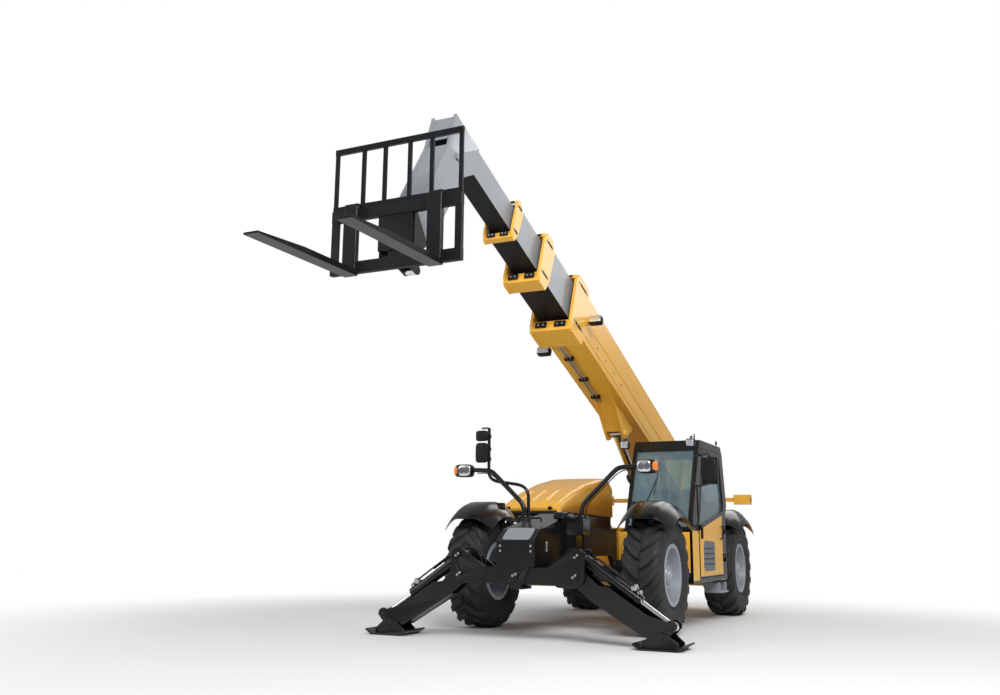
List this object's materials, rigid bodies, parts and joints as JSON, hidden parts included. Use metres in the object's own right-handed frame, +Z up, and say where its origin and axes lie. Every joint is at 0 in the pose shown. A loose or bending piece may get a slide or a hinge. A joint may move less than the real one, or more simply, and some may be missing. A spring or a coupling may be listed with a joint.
{
  "type": "telehandler",
  "caption": "Rough-terrain telehandler: side cab, engine pod, telescopic boom with fork carriage, and two folding front stabilisers.",
  "frame": {"origin": "on the floor, at the centre of the bounding box of the machine as stored", "axes": "+X to the machine's left (cab side), -Y to its front, +Z up"},
  "size_m": [3.348, 9.7008, 4.7549],
  "materials": {
    "yellow_paint": "satin gloss enamel",
    "black_paint": "gloss enamel",
    "dark_paint": "satin enamel",
    "grey_paint": "satin enamel",
    "rim_paint": "satin silver enamel",
    "chrome": "polished",
    "tyre": "matt",
    "glass": "tinted",
    "fabric": "woven"
  },
  "bodies": {
    "chassis": {"chassis_frame": "yellow_paint", "nose_box": "black_paint", "counterweight": "yellow_paint", "front_axle": "black_paint", "rear_axle": "black_paint", "stabiliser_beam": "black_paint", "cab_frame": "black_paint", "windscreen": "glass", "rear_glass": "glass", "roof_glass": "glass", "side_glass": "glass", "seat": "fabric", "steering_console": "dark_paint", "cab_step": "grey_paint", "engine_pod": "black_paint", "engine_block": "grey_paint", "stalk_left": "black_paint", "stalk_right": "black_paint"},
    "hub_front_left": {"knuckle_front_left": "black_paint", "fender_front_left": "black_paint"},
    "wheel_front_left": {"tyre_front_left": "tyre", "rim_front_left": "rim_paint"},
    "hub_front_right": {"knuckle_front_right": "black_paint", "fender_front_right": "black_paint"},
    "wheel_front_right": {"tyre_front_right": "tyre", "rim_front_right": "rim_paint"},
    "hub_rear_left": {"knuckle_rear_left": "black_paint", "fender_rear_left": "black_paint"},
    "wheel_rear_left": {"tyre_rear_left": "tyre", "rim_rear_left": "rim_paint"},
    "hub_rear_right": {"knuckle_rear_right": "black_paint", "fender_rear_right": "black_paint"},
    "wheel_rear_right": {"tyre_rear_right": "tyre", "rim_rear_right": "rim_paint"},
    "leg_left": {"leg_left": "black_paint"},
    "pad_left": {"pad_left": "black_paint"},
    "ram_barrel_left": {"ram_barrel_left": "black_paint"},
    "ram_rod_left": {"ram_rod_left": "chrome"},
    "leg_right": {"leg_right": "black_paint"},
    "pad_right": {"pad_right": "black_paint"},
    "ram_barrel_right": {"ram_barrel_right": "black_paint"},
    "ram_rod_right": {"ram_rod_right": "chrome"},
    "boom": {"boom_outer": "yellow_paint"},
    "boom_second": {"boom_second": "grey_paint", "boom_second_collar": "yellow_paint"},
    "boom_third": {"boom_third": "grey_paint", "boom_third_collar": "yellow_paint"},
    "boom_head": {"boom_head": "grey_paint"},
    "lift_barrel": {"lift_barrel": "black_paint"},
    "lift_rod": {"lift_rod": "chrome"},
    "carriage": {"fork_carriage": "dark_paint", "load_guard": "black_paint", "fork_left": "black_paint", "fork_right": "black_paint"},
    "tilt_barrel": {"tilt_barrel": "black_paint"},
    "tilt_rod": {"tilt_rod": "chrome"},
    "door": {"cab_door": "black_paint", "door_panel": "yellow_paint", "door_glass": "glass"},
    "hood": {"engine_hood": "yellow_paint"}
  },
  "joints": [
    {"name": "steer_front_left", "type": "hinge", "parent": "chassis", "child": "hub_front_left", "pos_m": [0.72, 0.14045, 0.62], "axis": [0, 0, 1], "range_deg": [-30, 30]},
    {"name": "spin_front_left", "type": "hinge", "parent": "hub_front_left", "child": "wheel_front_left", "pos_m": [1.015, 0.14045, 0.62], "axis": [1, 0, 0], "continuous": true},
    {"name": "steer_front_right", "type": "hinge", "parent": "chassis", "child": "hub_front_right", "pos_m": [-0.72, 0.14045, 0.62], "axis": [0, 0, 1], "range_deg": [-30, 30]},
    {"name": "spin_front_right", "type": "hinge", "parent": "hub_front_right", "child": "wheel_front_right", "pos_m": [-1.015, 0.14045, 0.62], "axis": [1, 0, 0], "continuous": true},
    {"name": "steer_rear_left", "type": "hinge", "parent": "chassis", "child": "hub_rear_left", "pos_m": [0.72, 3.44045, 0.62], "axis": [0, 0, 1], "range_deg": [-30, 30]},
    {"name": "spin_rear_left", "type": "hinge", "parent": "hub_rear_left", "child": "wheel_rear_left", "pos_m": [1.015, 3.44045, 0.62], "axis": [1, 0, 0], "continuous": true},
    {"name": "steer_rear_right", "type": "hinge", "parent": "chassis", "child": "hub_rear_right", "pos_m": [-0.72, 3.44045, 0.62], "axis": [0, 0, 1], "range_deg": [-30, 30]},
    {"name": "spin_rear_right", "type": "hinge", "parent": "hub_rear_right", "child": "wheel_rear_right", "pos_m": [-1.015, 3.44045, 0.62], "axis": [1, 0, 0], "continuous": true},
    {"name": "leg_swing_left", "type": "hinge", "parent": "chassis", "child": "leg_left", "pos_m": [0.62, -1.07955, 0.632], "axis": [0, -1, 0], "range_deg": [0, 85]},
    {"name": "pad_pivot_left", "type": "hinge", "parent": "leg_left", "child": "pad_left", "pos_m": [1.434, -1.07955, 0.112], "axis": [0, -1, 0], "range_deg": [-18, 30]},
    {"name": "ram_swing_left", "type": "hinge", "parent": "chassis", "child": "ram_barrel_left", "pos_m": [0.64, -1.07955, 0.818], "axis": [0, -1, 0], "range_deg": [-3, 90]},
    {"name": "ram_stroke_left", "type": "slide", "parent": "ram_barrel_left", "child": "ram_rod_left", "axis": [0.8236, 0, -0.5672], "range_m": [-0.2633, 0.005]},
    {"name": "leg_swing_right", "type": "hinge", "parent": "chassis", "child": "leg_right", "pos_m": [-0.62, -1.07955, 0.632], "axis": [0, 1, 0], "range_deg": [0, 85]},
    {"name": "pad_pivot_right", "type": "hinge", "parent": "leg_right", "child": "pad_right", "pos_m": [-1.434, -1.07955, 0.112], "axis": [0, 1, 0], "range_deg": [-18, 30]},
    {"name": "ram_swing_right", "type": "hinge", "parent": "chassis", "child": "ram_barrel_right", "pos_m": [-0.64, -1.07955, 0.818], "axis": [0, 1, 0], "range_deg": [-3, 90]},
    {"name": "ram_stroke_right", "type": "slide", "parent": "ram_barrel_right", "child": "ram_rod_right", "axis": [-0.8236, 0, -0.5672], "range_m": [-0.2633, 0.005]},
    {"name": "boom_lift", "type": "hinge", "parent": "chassis", "child": "boom", "pos_m": [0, 4.34045, 1.94], "axis": [-1, 0, 0], "range_deg": [-23, 49.5]},
    {"name": "lift_swing", "type": "hinge", "parent": "chassis", "child": "lift_barrel", "pos_m": [0, 3.84045, 0.85], "axis": [-1, 0, 0], "range_deg": [-22, 43]},
    {"name": "lift_stroke", "type": "slide", "parent": "lift_barrel", "child": "lift_rod", "axis": [0, -0.7989, 0.6015], "range_m": [-0.443, 0.9419]},
    {"name": "boom_extend", "type": "slide", "parent": "boom", "child": "boom_second", "axis": [0, -0.9367, 0.3502], "range_m": [-0.4, 3.1]},
    {"name": "extend_third", "type": "slide", "parent": "boom_second", "child": "boom_third", "axis": [0, -0.9367, 0.3502], "range_m": [-0.4, 3.1]},
    {"name": "extend_head", "type": "slide", "parent": "boom_third", "child": "boom_head", "axis": [0, -0.9367, 0.3502], "range_m": [-0.4, 3.1]},
    {"name": "carriage_tilt", "type": "hinge", "parent": "boom_head", "child": "carriage", "pos_m": [0, -3.43015, 3.37201], "axis": [-1, 0, 0], "range_deg": [-75, 20]},
    {"name": "tilt_swing", "type": "hinge", "parent": "boom_head", "child": "tilt_barrel", "pos_m": [0, -2.78738, 4.34876], "axis": [-1, 0, 0], "range_deg": [-5, 3]},
    {"name": "tilt_stroke", "type": "slide", "parent": "tilt_barrel", "child": "tilt_rod", "axis": [0, -0.4037, -0.9149], "range_m": [-0.2852, 0.0797]},
    {"name": "door_swing", "type": "hinge", "parent": "chassis", "child": "door", "pos_m": [1.222, 2.46045, 1], "axis": [0, 0, 1], "range_deg": [0, 85]},
    {"name": "hood_lift", "type": "hinge", "parent": "chassis", "child": "hood", "pos_m": [-0.7, 2.66545, 1.24], "axis": [-1, 0, 0], "range_deg": [0, 55]}
  ],
  "couplings": [
    {"joint": "steer_front_right", "follows": "steer_front_left", "ratio": 1},
    {"joint": "steer_rear_right", "follows": "steer_rear_left", "ratio": 1},
    {"joint": "ram_swing_left", "follows": "leg_swing_left", "ratio": 1.0236},
    {"joint": "ram_stroke_left", "follows": "leg_swing_left", "m_per_rad": -0.1741},
    {"joint": "ram_swing_right", "follows": "leg_swing_right", "ratio": 1.0236},
    {"joint": "ram_stroke_right", "follows": "leg_swing_right", "m_per_rad": -0.1741},
    {"joint": "lift_swing", "follows": "boom_lift", "ratio": 0.8271},
    {"joint": "lift_stroke", "follows": "boom_lift", "m_per_rad": 1.0786},
    {"joint": "extend_third", "follows": "boom_extend", "ratio": 1},
    {"joint": "extend_head", "follows": "boom_extend", "ratio": 1},
    {"joint": "tilt_swing", "follows": "carriage_tilt", "ratio": 0.0298},
    {"joint": "tilt_stroke", "follows": "carriage_tilt", "m_per_rad": 0.2141}
  ]
}
